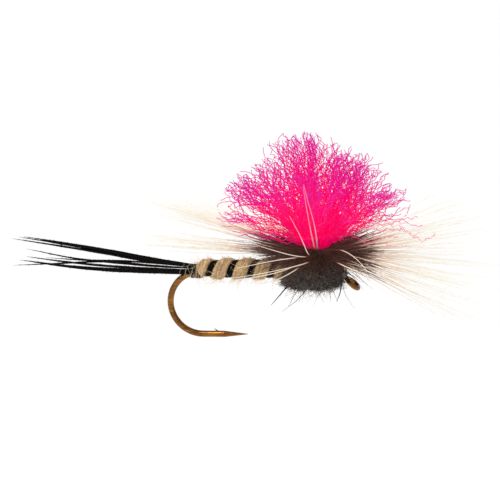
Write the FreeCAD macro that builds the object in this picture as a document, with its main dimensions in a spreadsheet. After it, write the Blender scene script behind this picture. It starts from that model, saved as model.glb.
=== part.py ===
import FreeCAD, Part

import math
import os
import re

import Sketcher
from FreeCAD import Placement, Rotation, Vector

# A parachute dry fly tied on a down-eyed wire hook, in millimetres.
# The origin is the centre of the hook's eye. +X points from the bend to the eye, +Z points up
# through the wing post, and the hook lies in the XZ plane.

SIZES = (
    # hook wire
    ("wire_diameter", 0.52),
    ("gape", 5.24),
    ("shank_height", 0.95),
    ("bend_back", 12.5),
    ("spear_straight", 1.8),
    ("point_length", 1.95),
    ("point_tip_radius", 0.02),
    ("kink_radius", 0.6),
    ("eye_turn", 42),
    ("eye_ring_radius", 0.56),
    ("eye_wire_diameter", 0.38),
    ("eye_bore_radius", 0.40),
    ("barb_from_bend", 1.35),
    ("barb_cut_radius", 0.09),
    ("barb_cut_length", 0.5),
    ("barb_cut_lift", 40),
    # tying thread
    ("thread_layer", 0.05),
    ("thread_start", 12.4),
    ("thread_end", 1.4),
    ("collar_back", 13.1),
    ("collar_length", 0.65),
    ("collar_height", 0.99),
    ("collar_inner_radius", 0.47),
    ("collar_outer_radius", 0.58),
    ("binding_back", 12.3),
    ("binding_length", 2.8),
    ("binding_pitch", 0.7),
    ("binding_thread_radius", 0.025),
    ("head_back", 1.15),
    ("head_length", 0.37),
    ("head_back_radius", 0.45),
    ("head_front_radius", 0.29),
    ("cement_coat", 0.03),
    # tail hairs
    ("hair_count", 9),
    ("hair_radius", 0.07),
    ("hair_tip_radius", 0.02),
    ("hair_first_angle", -20),
    ("hair_angle_step", 27.5),
    ("tail_gap", 0.1),
    ("tail_length", 15.3),
    ("butt_length", 3.4),
    # abdomen
    ("abdomen_height", 1.19),
    ("abdomen_back", 12.4),
    ("abdomen_front", 5.9),
    ("abdomen_back_radius", 0.76),
    ("abdomen_front_radius", 0.83),
    ("abdomen_curve", 70),
    ("core_bore_radius", 0.52),
    ("core_bore_length", 3.1),
    ("rib_start", 12.0),
    ("rib_length", 5.85),
    ("rib_pitch", 1.72),
    ("rib_centre_radius", 0.80),
    ("rib_half_width", 0.2),
    ("rib_half_height", 0.05),
    ("rib_groove_gap", 0.012),
    # wing post
    ("post_back", 2.8),
    ("neck_radius", 0.85),
    ("neck_bottom", 1.75),
    ("neck_top", 3.0),
    ("saddle_strand_radius", 0.4),
    ("saddle_radius", 0.73),
    ("saddle_overlap", 0.3),
    ("fan_half_angle", 64),
    ("bud_radius", 1.35),
    ("fan_radius", 10.4),
    ("strand_count", 60),
    ("strand_radius", 0.1),
    ("strand_tip_radius", 0.03),
    ("post_wrap_bottom", 2.16),
    ("post_wrap_thickness", 0.1),
    # hackle
    ("hackle_bottom", 2.27),
    ("hackle_turns", 4),
    ("hackle_pitch", 0.18),
    ("quill_radius", 0.065),
    ("quill_helix_radius", 1.04),
    ("barbs_per_turn", 16),
    ("barb_reach", 15.2),
    ("barb_radius", 0.05),
    ("barb_tip_radius", 0.012),
    ("barb_front_slope", 3),
    ("barb_rear_slope", 12),
    ("barb_front_spread", 13),
    ("barb_rear_spread", 6),
    # thorax
    ("thorax_height", 0.75),
    ("thorax_back", 5.9),
    ("thorax_front", 1.0),
    ("thorax_back_radius", 0.85),
    ("thorax_front_radius", 0.95),
    ("thorax_curve", 6.6),
    ("guard_hair_radius", 0.03),
    ("guard_hair_tip_radius", 0.01),
    # how deep a hair, barb or strand is set into what it grows from
    ("root_depth", 0.02),
)
ALIASES = {alias for alias, _ in SIZES}

# The hairs of each tail bunch: place round the shank, rise and sideways yaw, angles in degrees.
TAIL_BUNCHES = {
    "tail_hairs_lower": ((0, 4.0, 3.4), (1, 5.0, 2.4), (7, 4.6, -2.2), (8, 3.8, -3.2)),
    "tail_hairs_middle": ((2, 2.6, 1.2), (6, 8.2, -1.0)),
    "tail_hairs_upper": ((3, 10.4, 0.8), (4, 10.9, 0.0), (5, 10.2, -0.9)),
}

# Guard hairs teased out of the thorax as legs: distance behind the eye, angle from straight down
# to the side, lean towards the tail and length, angles in degrees.
GUARD_HAIRS = (
    (4.9, -24, 52, 2.3),
    (4.4, 14, 44, 1.6),
    (4.0, -8, 47, 2.6),
    (3.5, 20, 40, 2.2),
    (3.0, -16, 12, 1.3),
    (2.4, 10, 4, 1.5),
    (1.9, -12, -12, 1.4),
    (1.6, 16, 18, 1.9),
    (1.4, -20, -38, 2.4),
)

Y_AXIS = Vector(0, 1, 0)
Z_AXIS = Vector(0, 0, 1)
GOLDEN_ANGLE = math.pi * (3 - math.sqrt(5))
FINE_SIDES = 8
# Rotations that stand a flat section up in the XZ plane, its long side along X or along Z.
SECTION_FLAT = Rotation(Vector(1, 0, 0), 90)
SECTION_UPRIGHT = Rotation(Vector(1, 1, 1), 240)

# Lengths that several pieces share, as expressions of the sheet.
WIRE_RADIUS = "wire_diameter / 2"
LAYER_RADIUS = "(wire_diameter / 2 + thread_layer)"
FAN_ORIGIN_HEIGHT = "(neck_top - neck_radius / tan(fan_half_angle))"

doc = FreeCAD.newDocument("dry_fly")
sheet = doc.addObject("Spreadsheet::Sheet", "Sizes")
subparts = []


def fill_sheet():
    for row, (alias, number) in enumerate(SIZES, start=1):
        sheet.set(f"A{row}", alias)
        sheet.set(f"B{row}", str(number))
        sheet.setAlias(f"B{row}", alias)
    doc.recompute()


def size(alias):
    return float(sheet.get(alias))


def linked(expression):
    """The expression with every size's name written as a cell of the sheet."""
    return re.sub("[a-z_]+", lambda m: f"Sizes.{m[0]}" if m[0] in ALIASES else m[0], expression)


def made(kind, name, **expressions):
    """A Part object whose properties are bound to the sheet."""
    thing = doc.addObject(f"Part::{kind}", name)
    for prop, expression in expressions.items():
        thing.setExpression(prop, linked(expression))
    return thing


def move(thing, x="0", y="0", z="0"):
    """Binds where a thing stands, and keeps how it is turned."""
    for letter, expression in (("x", x), ("y", y), ("z", z)):
        thing.setExpression(f"Placement.Base.{letter}", linked(expression))
    return thing


def place(thing, x="0", y="0", z="0", turn="0"):
    """Binds where a thing stands and how far it is turned about Y: +90 lays +Z along +X."""
    thing.Placement = Placement(Vector(), Rotation(Y_AXIS, 1))
    thing.setExpression("Placement.Rotation.Angle", linked(turn))
    return move(thing, x, y, z)


def along_shank(name, back, length, height, radius):
    """A round bar along X that starts at a distance behind the eye."""
    bar = made("Cylinder", name, Radius=radius, Height=length)
    return place(bar, x=f"0 - {back}", z=height, turn="90")


def octagon(name, radius):
    """The section of what is too fine to need a round one: thread, quill, hair, barb and strand."""
    section = made("RegularPolygon", name, Circumradius=radius)
    section.Polygon = FINE_SIDES
    return section


def spike(name, base, direction, length, root_radius, tip_radius):
    """A slender taper: a hair, a barb or a strand of yarn. The base is three expressions."""
    root = octagon(f"{name}_root", root_radius)
    tip = move(octagon(f"{name}_tip", tip_radius), z=length)
    taper = doc.addObject("Part::Loft", name)
    taper.Sections = [root, tip]
    taper.Solid = True
    taper.Ruled = True
    taper.Placement = Placement(Vector(), Rotation(Z_AXIS, direction))
    return move(taper, *base)


def compound(name, members):
    group = doc.addObject("Part::Compound", name)
    group.Links = members
    return group


def fused(name, members):
    union = doc.addObject("Part::MultiFuse", name)
    union.Shapes = members
    return union


def boolean(kind, name, base, tool):
    result = doc.addObject(f"Part::{kind}", name)
    result.Base = base
    result.Tool = tool
    return result


def swept(name, section, spine, edges, frenet=False):
    sweep = doc.addObject("Part::Sweep", name)
    sweep.Sections = [section]
    sweep.Spine = (spine, edges)
    sweep.Solid = True
    sweep.Frenet = frenet
    return sweep


def subpart(thing, label):
    """Marks a thing as a piece of the fly, with the label that names its file."""
    thing.Label = label
    subparts.append(thing)


def dimension(sketch, name, kind, *geometry, expression):
    """A driving dimension of a sketch, bound to the sheet."""
    text = linked(expression)
    value = float(sheet.evalExpression(text))
    if kind == "Angle":
        text = f"({text}) * 1 deg"
        value = math.radians(value)
    index = sketch.addConstraint(Sketcher.Constraint(kind, *geometry, value))
    sketch.renameConstraint(index, name)
    sketch.setExpression(f"Constraints.{name}", text)


def hook_path():
    """The wire's centre line: spear, round bend, shank, and the kink down to the eye's neck."""
    path = doc.addObject("Sketcher::SketchObject", "hook_path")
    path.Placement = Placement(Vector(), SECTION_FLAT)
    back, height, radius = size("bend_back"), size("shank_height"), size("gape") / 2
    turn, kink = math.radians(size("eye_turn")), size("kink_radius")
    low = height - size("gape")
    reach = (height - kink * (1 - math.cos(turn))) / math.sin(turn)
    kink_end = Vector(-reach * math.cos(turn), reach * math.sin(turn), 0)
    kink_start = Vector(kink_end.x - kink * math.sin(turn), height, 0)
    bend = Part.Circle(Vector(-back, height - radius, 0), Z_AXIS, radius)
    curve = Part.Circle(kink_start - Vector(0, kink, 0), Z_AXIS, kink)
    spear_end = Vector(size("spear_straight") - back, low, 0)
    path.addGeometry(Part.LineSegment(spear_end, Vector(-back, low, 0)))
    path.addGeometry(Part.ArcOfCircle(bend, math.pi / 2, 3 * math.pi / 2))
    path.addGeometry(Part.LineSegment(Vector(-back, height, 0), kink_start))
    path.addGeometry(Part.ArcOfCircle(curve, math.pi / 2 - turn, math.pi / 2))
    path.addGeometry(Part.LineSegment(kink_end, Vector()), True)
    for joint in ((0, 2, 1, 2), (1, 1, 2, 1), (2, 2, 3, 2), (3, 1, 4, 1)):
        path.addConstraint(Sketcher.Constraint("Tangent", *joint))
    path.addConstraint(Sketcher.Constraint("Horizontal", 2))
    path.addConstraint(Sketcher.Constraint("Coincident", 4, 2, -1, 1))
    dimension(path, "bend", "Radius", 1, expression="gape / 2")
    dimension(path, "kink", "Radius", 3, expression="kink_radius")
    dimension(path, "height", "DistanceY", -1, 1, 2, 1, expression="shank_height")
    dimension(path, "back", "DistanceX", 2, 1, -1, 1, expression="bend_back")
    dimension(path, "spear", "DistanceX", 0, 2, 0, 1, expression="spear_straight")
    dimension(path, "neck_angle", "Angle", 4, expression="0 - eye_turn")
    return path


def hook():
    """Bronzed wire hook: round bend, needle point with a small barb, tapered eye turned down."""
    spear_end = {"x": "spear_straight - bend_back", "z": "shank_height - gape"}
    section = place(made("Circle", "wire_section", Radius=WIRE_RADIUS), **spear_end, turn="90")
    wire = swept("wire", section, hook_path(), ["Edge1", "Edge2", "Edge3", "Edge4"])
    point = made("Cone", "point", Radius1=WIRE_RADIUS, Radius2="point_tip_radius", Height="point_length")
    place(point, **spear_end, turn="90")
    barb = made(
        "Cone", "barb", Radius1="barb_cut_radius", Radius2="point_tip_radius", Height="barb_cut_length"
    )
    barb_height = "shank_height - gape + wire_diameter / 4"
    place(barb, x="barb_from_bend - bend_back", z=barb_height, turn="barb_cut_lift - 90")
    reach = "(shank_height - kink_radius * (1 - cos(eye_turn))) / sin(eye_turn)"
    neck = made(
        "Cone",
        "neck",
        Radius1="eye_wire_diameter / 2",
        Radius2=WIRE_RADIUS,
        Height=f"{reach} - eye_ring_radius",
    )
    ring_x = "0 - eye_ring_radius * cos(eye_turn)"
    place(neck, x=ring_x, z="eye_ring_radius * sin(eye_turn)", turn="eye_turn - 90")
    ring = made("Torus", "eye_ring", Radius1="eye_ring_radius", Radius2="eye_wire_diameter / 2")
    place(ring, turn="eye_turn")
    bore = made("Cylinder", "eye_bore", Radius="eye_bore_radius", Height="2 * eye_wire_diameter")
    bore_x = "0 - eye_wire_diameter * sin(eye_turn)"
    place(bore, x=bore_x, z="0 - eye_wire_diameter * cos(eye_turn)", turn="eye_turn")
    whole = boolean("Cut", "hook_bored", fused("hook_whole", [wire, point, barb, neck, ring]), bore)
    subpart(whole, "hook")
    return whole


def sleeve(name, back, length, height, inner, outer):
    """A round tube along X, as a close layer of thread."""
    skin = along_shank(f"{name}_outside", back, length, height, outer)
    hole = along_shank(f"{name}_inside", back, length, height, inner)
    return boolean("Cut", name, skin, hole)


def winding(name, section, radius, pitch, length):
    """A left-hand winding along +Z, swept from a section that stands where the helix starts."""
    helix = made("Helix", f"{name}_helix", Radius=radius, Pitch=pitch, Height=length)
    helix.LocalCoord = 1
    return swept(name, section, helix, ["Edge1"], frenet=True)


def shank_thread():
    """The base layer of tying thread wound along the shank."""
    length = "(thread_start - thread_end)"
    layer = sleeve("base_layer", "thread_start", length, "shank_height", WIRE_RADIUS, LAYER_RADIUS)
    subpart(layer, "shank_thread")


def tail_collar():
    """The thread collar that holds the tail hairs at the start of the bend."""
    collar = sleeve(
        "collar",
        "collar_back",
        "collar_length",
        "collar_height",
        "collar_inner_radius",
        "collar_outer_radius",
    )
    subpart(collar, "tail_collar_thread")


def hair_place(index):
    """Where a tail hair lies round the top and sides of the shank, as expressions for y and z."""
    ring = f"({LAYER_RADIUS} + hair_radius)"
    angle = f"hair_first_angle + {index} * hair_angle_step"
    return f"0 - {ring} * cos({angle})", f"shank_height + {ring} * sin({angle})"


def tail():
    """Three bunches of tapered hairs that stand free behind the collar."""
    for label, hairs in TAIL_BUNCHES.items():
        members = []
        for index, rise, yaw in hairs:
            rise, yaw = math.radians(rise), math.radians(yaw)
            level = Vector(-math.cos(yaw), -math.sin(yaw), 0)
            direction = level * math.cos(rise) + Z_AXIS * math.sin(rise)
            base = ("0 - collar_back - tail_gap", *hair_place(index))
            name = f"tail_hair_{index}"
            members.append(spike(name, base, direction, "tail_length", "hair_radius", "hair_tip_radius"))
        subpart(compound(f"{label}_bunch", members), label)


def tail_butts():
    """The hairs' butts, laid along the shank under the abdomen."""
    butts = []
    for index in range(int(size("hair_count"))):
        y, z = hair_place(index)
        butt = made("Cylinder", f"butt_{index}", Radius="hair_radius", Height="butt_length")
        butts.append(place(butt, x="0 - collar_back", y=y, z=z, turn="90"))
    subpart(compound("butts", butts), "tail_hair_butts")


def binding_thread():
    """Open spiral of thread over the butts."""
    radius = "collar_inner_radius + binding_thread_radius"
    section = octagon("binding_section", "binding_thread_radius")
    section.Placement = Placement(Vector(), SECTION_FLAT)
    move(section, x=radius)
    thread = winding("binding", section, radius, "binding_pitch", "binding_length")
    place(thread, x="0 - binding_back", z="collar_height", turn="90")
    subpart(thread, "butt_binding_thread")


def rib(name, gap):
    """The flat rib's winding round the abdomen, made wider all round by a gap."""
    half_width = f"(rib_half_width + {gap})"
    half_height = f"(rib_half_height + {gap})"
    section = made("Plane", f"{name}_section", Length=f"2 * {half_width}", Width=f"2 * {half_height}")
    section.Placement = Placement(Vector(), SECTION_UPRIGHT)
    move(section, x=f"rib_centre_radius - {half_height}", z=f"0 - {half_width}")
    flat = winding(name, section, "rib_centre_radius", "rib_pitch", "rib_length")
    return place(flat, x="0 - rib_start", z="abdomen_height", turn="90")


def barrel(name):
    """A round body along X, turned from an outline with a curved side. Its sizes start with its name."""
    body = doc.addObject("PartDesign::Body", f"{name}_barrel")
    plane = next(feature for feature in body.Origin.OriginFeatures if feature.Role == "XZ_Plane")
    outline = body.newObject("Sketcher::SketchObject", f"{name}_outline")
    outline.AttachmentSupport = [(plane, "")]
    outline.MapMode = "FlatFace"
    back, front = -size(f"{name}_back"), -size(f"{name}_front")
    back_rim = Vector(back, size(f"{name}_back_radius"), 0)
    front_rim = Vector(front, size(f"{name}_front_radius"), 0)
    curve = size(f"{name}_curve")
    chord = front_rim - back_rim
    inward = Vector(chord.y, -chord.x, 0).normalize()
    centre = (back_rim + front_rim) * 0.5 + inward * math.sqrt(curve**2 - (chord.Length / 2) ** 2)
    angles = [math.atan2(rim.y - centre.y, rim.x - centre.x) for rim in (front_rim, back_rim)]
    outline.addGeometry(Part.LineSegment(Vector(front, 0, 0), Vector(back, 0, 0)))
    outline.addGeometry(Part.LineSegment(Vector(back, 0, 0), back_rim))
    outline.addGeometry(Part.ArcOfCircle(Part.Circle(centre, Z_AXIS, curve), *angles))
    outline.addGeometry(Part.LineSegment(front_rim, Vector(front, 0, 0)))
    for corner in ((0, 2, 1, 1), (1, 2, 2, 2), (2, 1, 3, 1), (3, 2, 0, 1)):
        outline.addConstraint(Sketcher.Constraint("Coincident", *corner))
    for point in ((0, 1), (0, 2)):
        outline.addConstraint(Sketcher.Constraint("PointOnObject", *point, -1))
    outline.addConstraint(Sketcher.Constraint("Vertical", 1))
    outline.addConstraint(Sketcher.Constraint("Vertical", 3))
    dimension(outline, "back", "DistanceX", 0, 2, -1, 1, expression=f"{name}_back")
    dimension(outline, "front", "DistanceX", 0, 1, -1, 1, expression=f"{name}_front")
    dimension(outline, "back_radius", "DistanceY", -1, 1, 1, 2, expression=f"{name}_back_radius")
    dimension(outline, "front_radius", "DistanceY", -1, 1, 3, 1, expression=f"{name}_front_radius")
    dimension(outline, "curve", "Radius", 2, expression=f"{name}_curve")
    turned = body.newObject("PartDesign::Revolution", f"{name}_turned")
    turned.Profile = outline
    turned.ReferenceAxis = (outline, ["H_Axis"])
    turned.Angle = 360
    return move(body, z=f"{name}_height")


def barrel_radius(name, back):
    """The radius of a barrel at a distance behind the eye, as an expression."""
    middle = f"({name}_back + {name}_front) / 2"
    rim = f"({name}_back_radius + {name}_front_radius) / 2"
    flat = f"sqrt({name}_curve ^ 2 - (({name}_back - {name}_front) / 2) ^ 2)"
    return f"{rim} - {flat} + sqrt({name}_curve ^ 2 - ({back} - {middle}) ^ 2)"


def abdomen():
    """Dubbed abdomen, a long barrel on the shank, with the spiral rib let into it."""
    wide = along_shank("core_bore", "abdomen_back", "core_bore_length", "collar_height", "core_bore_radius")
    shank = along_shank("abdomen_bore", "abdomen_back", "abdomen_back", "shank_height", LAYER_RADIUS)
    inside = fused("abdomen_inside", [wide, shank])
    hollow = boolean("Cut", "abdomen_hollow", barrel("abdomen"), inside)
    subpart(boolean("Cut", "abdomen_grooved", hollow, rib("rib_groove", "rib_groove_gap")), "abdomen_dubbing")
    subpart(rib("rib", "0"), "abdomen_rib")


def yarn_neck():
    """The bound neck of the yarn, which opens into a bud that carries the fan."""
    body = doc.addObject("PartDesign::Body", "yarn_neck")
    plane = next(feature for feature in body.Origin.OriginFeatures if feature.Role == "XZ_Plane")
    outline = body.newObject("Sketcher::SketchObject", "yarn_outline")
    outline.AttachmentSupport = [(plane, "")]
    outline.MapMode = "FlatFace"
    spread = math.radians(size("fan_half_angle"))
    neck, bottom, top, bud = (size(a) for a in ("neck_radius", "neck_bottom", "neck_top", "bud_radius"))
    centre = Vector(0, top - neck / math.tan(spread), 0)
    rim = centre + Vector(bud * math.sin(spread), bud * math.cos(spread), 0)
    crown = centre + Vector(0, bud, 0)
    cap = Part.Circle(centre, Z_AXIS, bud)
    outline.addGeometry(Part.LineSegment(crown, Vector(0, bottom, 0)))
    outline.addGeometry(Part.LineSegment(Vector(0, bottom, 0), Vector(neck, bottom, 0)))
    outline.addGeometry(Part.LineSegment(Vector(neck, bottom, 0), Vector(neck, top, 0)))
    outline.addGeometry(Part.LineSegment(Vector(neck, top, 0), rim))
    outline.addGeometry(Part.ArcOfCircle(cap, math.pi / 2 - spread, math.pi / 2))
    for corner in ((0, 2, 1, 1), (1, 2, 2, 1), (2, 2, 3, 1), (3, 2, 4, 1), (4, 2, 0, 1)):
        outline.addConstraint(Sketcher.Constraint("Coincident", *corner))
    for point in ((0, 1), (0, 2), (4, 3)):
        outline.addConstraint(Sketcher.Constraint("PointOnObject", *point, -2))
    outline.addConstraint(Sketcher.Constraint("Horizontal", 1))
    outline.addConstraint(Sketcher.Constraint("Vertical", 2))
    dimension(outline, "neck", "DistanceX", -1, 1, 2, 1, expression="neck_radius")
    dimension(outline, "bottom", "DistanceY", -1, 1, 2, 1, expression="neck_bottom")
    dimension(outline, "top", "DistanceY", -1, 1, 2, 2, expression="neck_top")
    dimension(outline, "bud", "Radius", 4, expression="bud_radius")
    dimension(outline, "centre", "DistanceY", -1, 1, 4, 3, expression=FAN_ORIGIN_HEIGHT)
    dimension(outline, "rim", "DistanceX", -1, 1, 3, 2, expression="bud_radius * sin(fan_half_angle)")
    turned = body.newObject("PartDesign::Revolution", "yarn_turned")
    turned.Profile = outline
    turned.ReferenceAxis = (outline, ["V_Axis"])
    turned.Angle = 360
    return move(body, x="0 - post_back")


def yarn_saddle():
    """The bight of the yarn under the shank, a bent rod with a leg up each side of the shank."""
    path = doc.addObject("Sketcher::SketchObject", "saddle_path")
    path.Placement = Placement(Vector(), Rotation(90, 0, 90))
    radius, shank = size("saddle_radius"), size("shank_height")
    leg_top = "neck_bottom + saddle_overlap"
    top = size("neck_bottom") + size("saddle_overlap")
    loop = Part.Circle(Vector(0, shank, 0), Z_AXIS, radius)
    path.addGeometry(Part.LineSegment(Vector(radius, top, 0), Vector(radius, shank, 0)))
    path.addGeometry(Part.ArcOfCircle(loop, math.pi, 2 * math.pi))
    path.addGeometry(Part.LineSegment(Vector(-radius, shank, 0), Vector(-radius, top, 0)))
    path.addConstraint(Sketcher.Constraint("Tangent", 0, 2, 1, 2))
    path.addConstraint(Sketcher.Constraint("Tangent", 1, 1, 2, 1))
    path.addConstraint(Sketcher.Constraint("Vertical", 0))
    path.addConstraint(Sketcher.Constraint("Horizontal", 0, 1, 2, 2))
    path.addConstraint(Sketcher.Constraint("PointOnObject", 1, 3, -2))
    dimension(path, "loop", "Radius", 1, expression="saddle_radius")
    dimension(path, "shank", "DistanceY", -1, 1, 1, 3, expression="shank_height")
    dimension(path, "top", "DistanceY", -1, 1, 0, 1, expression=leg_top)
    move(path, x="0 - post_back")
    section = made("Circle", "saddle_section", Radius="saddle_strand_radius")
    move(section, x="0 - post_back", y="saddle_radius", z=leg_top)
    return swept("saddle", section, path, ["Edge1", "Edge2", "Edge3"])


def yarn_fan():
    """Tapered strands that stand on the bud, spread evenly over its cap by the golden angle."""
    cap_height = 1 - math.cos(math.radians(size("fan_half_angle")))
    count = int(size("strand_count"))
    start = "(bud_radius - root_depth)"
    strands = []
    for index in range(count):
        lean = math.acos(1 - (index + 0.5) / count * cap_height)
        azimuth = index * GOLDEN_ANGLE
        outward = Vector(math.cos(azimuth), math.sin(azimuth), 0)
        direction = outward * math.sin(lean) + Z_AXIS * math.cos(lean)
        x, y, z = (f"{start} * ({component:.6f})" for component in direction)
        base = (f"0 - post_back + {x}", y, f"{FAN_ORIGIN_HEIGHT} + {z}")
        length = f"fan_radius - {start}"
        strands.append(
            spike(f"strand_{index}", base, direction, length, "strand_radius", "strand_tip_radius")
        )
    return strands


def wing_post():
    """Wing post of yarn: the bight under the shank, the bound neck and the brushed-out fan."""
    core = fused("yarn_core", [yarn_neck(), yarn_saddle()])
    subpart(compound("yarn", [core, *yarn_fan()]), "wing_post_yarn")
    return core


def post_base():
    """Tight thread wraps round the foot of the post, which the hackle is wound on."""
    height = "neck_top - post_wrap_bottom"
    skin = made("Cylinder", "post_wrap_outside", Radius="neck_radius + post_wrap_thickness", Height=height)
    hole = made("Cylinder", "post_wrap_inside", Radius="neck_radius", Height=height)
    for tube in (skin, hole):
        move(tube, x="0 - post_back", z="post_wrap_bottom")
    subpart(boolean("Cut", "post_wrap", skin, hole), "post_base_thread")


def quill():
    """The feather's stem, wound up round the foot of the post."""
    height = "hackle_pitch * hackle_turns"
    helix = made("Helix", "quill_helix", Radius="quill_helix_radius", Pitch="hackle_pitch", Height=height)
    section = octagon("quill_section", "quill_radius")
    section.Placement = Placement(Vector(), SECTION_FLAT)
    move(section, x="quill_helix_radius")
    stem = swept("quill", section, helix, ["Edge1"], frenet=True)
    subpart(move(stem, x="0 - post_back", z="hackle_bottom"), "hackle_quill")


def barb_slope(azimuth, along):
    """A barb's rise in degrees: rear barbs rise over the tail, and later turns rise higher."""
    rear = (1 - math.cos(azimuth)) / 2
    middle = size("barb_front_slope") * (1 - rear) + size("barb_rear_slope") * rear
    spread = size("barb_front_spread") * (1 - rear) + size("barb_rear_spread") * rear
    return middle + spread * (2 * along / size("hackle_turns") - 1)


def hackle_barbs():
    """The feather's barbs, which stand out all round from each turn of the quill."""
    per_turn = int(size("barbs_per_turn"))
    start = "(quill_helix_radius + quill_radius - root_depth)"
    for turn in range(int(size("hackle_turns"))):
        barbs = []
        for index in range(per_turn):
            along = turn + (index + 0.25 + 0.5 * (turn % 2)) / per_turn
            azimuth = 2 * math.pi * along
            slope = math.radians(barb_slope(azimuth, along))
            outward = Vector(math.cos(azimuth), math.sin(azimuth), 0)
            direction = outward * math.cos(slope) + Z_AXIS * math.sin(slope)
            base = (
                f"0 - post_back + {start} * ({outward.x:.6f})",
                f"{start} * ({outward.y:.6f})",
                f"hackle_bottom + hackle_pitch * {along:.6f}",
            )
            length = f"(barb_reach - {start}) / ({math.cos(slope):.6f})"
            name = f"barb_{turn}_{index}"
            barbs.append(spike(name, base, direction, length, "barb_radius", "barb_tip_radius"))
        label = f"hackle_barbs_turn_{turn + 1}"
        subpart(compound(f"{label}_ring", barbs), label)


def head(hook_solid):
    """Thread head behind the eye, and its thin coat of cement. Returns the coated head."""
    cones = []
    for name, coat in (("head_cone", "0"), ("cement_cone", "cement_coat")):
        back_radius = f"head_back_radius + {coat}"
        front_radius = f"head_front_radius + {coat}"
        cone = made("Cone", name, Radius1=back_radius, Radius2=front_radius, Height="head_length")
        place(cone, x="0 - head_back * cos(eye_turn)", z="head_back * sin(eye_turn)", turn="90 + eye_turn")
        cones.append(cone)
    wraps, coated = cones
    subpart(boolean("Cut", "head_wraps", wraps, hook_solid), "head_thread")
    subpart(boolean("Cut", "cement", coated, wraps), "head_cement")
    return coated


def thorax(core, coated_head):
    """Dubbed thorax, a short barrel with the post, the shank and the head let into it."""
    shank = along_shank("thorax_bore", "thorax_back", "thorax_back", "shank_height", LAYER_RADIUS)
    inside = fused("thorax_inside", [core, shank, coated_head])
    subpart(boolean("Cut", "thorax", barrel("thorax"), inside), "thorax_dubbing")


def guard_hairs():
    """Long dark hairs that hang out of the thorax."""
    hairs = []
    for index, (back, side, lean, length) in enumerate(GUARD_HAIRS):
        side, lean = math.radians(side), math.radians(lean)
        down = Vector(0, math.sin(side), -math.cos(side))
        direction = down * math.cos(lean) + Vector(-math.sin(lean), 0, 0)
        depth = f"({barrel_radius('thorax', back)} - root_depth)"
        base = (f"0 - {back}", f"{depth} * ({down.y:.6f})", f"thorax_height + {depth} * ({down.z:.6f})")
        name = f"guard_hair_{index}"
        hairs.append(spike(name, base, direction, str(length), "guard_hair_radius", "guard_hair_tip_radius"))
    subpart(compound("guard_hairs", hairs), "thorax_guard_hairs")


def check_and_export():
    """Stops on any failed object, then writes every piece to its own file."""
    doc.recompute()
    failed = [thing.Name for thing in doc.Objects if {"Invalid", "Error"} & set(thing.State)]
    if failed:
        raise RuntimeError(f"objects failed: {failed}")
    for piece in subparts:
        if piece.Shape.isNull() or not piece.Shape.isValid() or piece.Shape.Volume <= 0:
            raise RuntimeError(f"{piece.Label} has no valid shape")
    os.makedirs("parts", exist_ok=True)
    for piece in subparts:
        piece.Shape.exportStep(f"parts/{piece.Label}.step")
        print(f"{piece.Label}: {len(piece.Shape.Solids)} solids, {piece.Shape.Volume:.4f} mm3")


fill_sheet()
hook_solid = hook()
shank_thread()
tail_collar()
tail()
tail_butts()
binding_thread()
abdomen()
core = wing_post()
post_base()
quill()
hackle_barbs()
coated_head = head(hook_solid)
thorax(core, coated_head)
guard_hairs()
check_and_export()
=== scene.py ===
import math

import bpy
import numpy as np
from mathutils import Matrix, Vector


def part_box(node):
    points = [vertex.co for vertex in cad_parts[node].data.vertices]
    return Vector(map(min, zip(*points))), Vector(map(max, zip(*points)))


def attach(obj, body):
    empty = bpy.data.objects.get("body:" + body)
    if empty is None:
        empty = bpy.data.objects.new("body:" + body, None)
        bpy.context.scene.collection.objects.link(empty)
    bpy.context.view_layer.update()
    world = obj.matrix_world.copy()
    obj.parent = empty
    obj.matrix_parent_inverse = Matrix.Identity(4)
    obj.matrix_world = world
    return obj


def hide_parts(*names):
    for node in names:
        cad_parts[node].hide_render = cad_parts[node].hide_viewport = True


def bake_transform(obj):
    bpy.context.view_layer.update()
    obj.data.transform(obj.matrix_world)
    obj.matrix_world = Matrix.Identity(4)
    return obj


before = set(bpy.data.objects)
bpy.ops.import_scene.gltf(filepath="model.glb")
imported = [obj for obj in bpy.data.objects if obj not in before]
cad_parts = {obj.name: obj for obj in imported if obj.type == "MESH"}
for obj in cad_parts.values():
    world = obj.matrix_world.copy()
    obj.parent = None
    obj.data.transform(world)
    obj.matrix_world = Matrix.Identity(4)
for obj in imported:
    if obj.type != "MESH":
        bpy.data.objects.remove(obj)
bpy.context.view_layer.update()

# A parachute dry fly in macro. Lengths in this script are millimetres and become metres where a
# mesh is made. +X points to the hook's eye, +Z up through the wing post, -Y towards the camera.
MM = 0.001
rng = np.random.default_rng(41)
GOLDEN_ANGLE = math.pi * (3 - math.sqrt(5))
UP = np.array([0.0, 0.0, 1.0])
ALONG = np.array([1.0, 0.0, 0.0])


# ---------------------------------------------------------------- places, from the CAD frame


def node_box(name):
    """Lowest and highest corner of a CAD node, in millimetres."""
    low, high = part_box(name)
    return np.array(low) / MM, np.array(high) / MM


def centre(name):
    low, high = node_box(name)
    return (low + high) / 2


collar_low, collar_high = node_box("tail_collar_thread")
abdomen_low, abdomen_high = node_box("abdomen_dubbing")
rib_low, rib_high = node_box("abdomen_rib")
thorax_low, thorax_high = node_box("thorax_dubbing")
wrap_low, wrap_high = node_box("post_base_thread")
quill_low, quill_high = node_box("hackle_quill")
_, yarn_high = node_box("wing_post_yarn")
tail_low, _ = node_box("tail_hairs_upper")
shank_low, shank_high = node_box("shank_thread")
barbs_low, barbs_high = node_box("hackle_barbs_turn_1")

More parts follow.
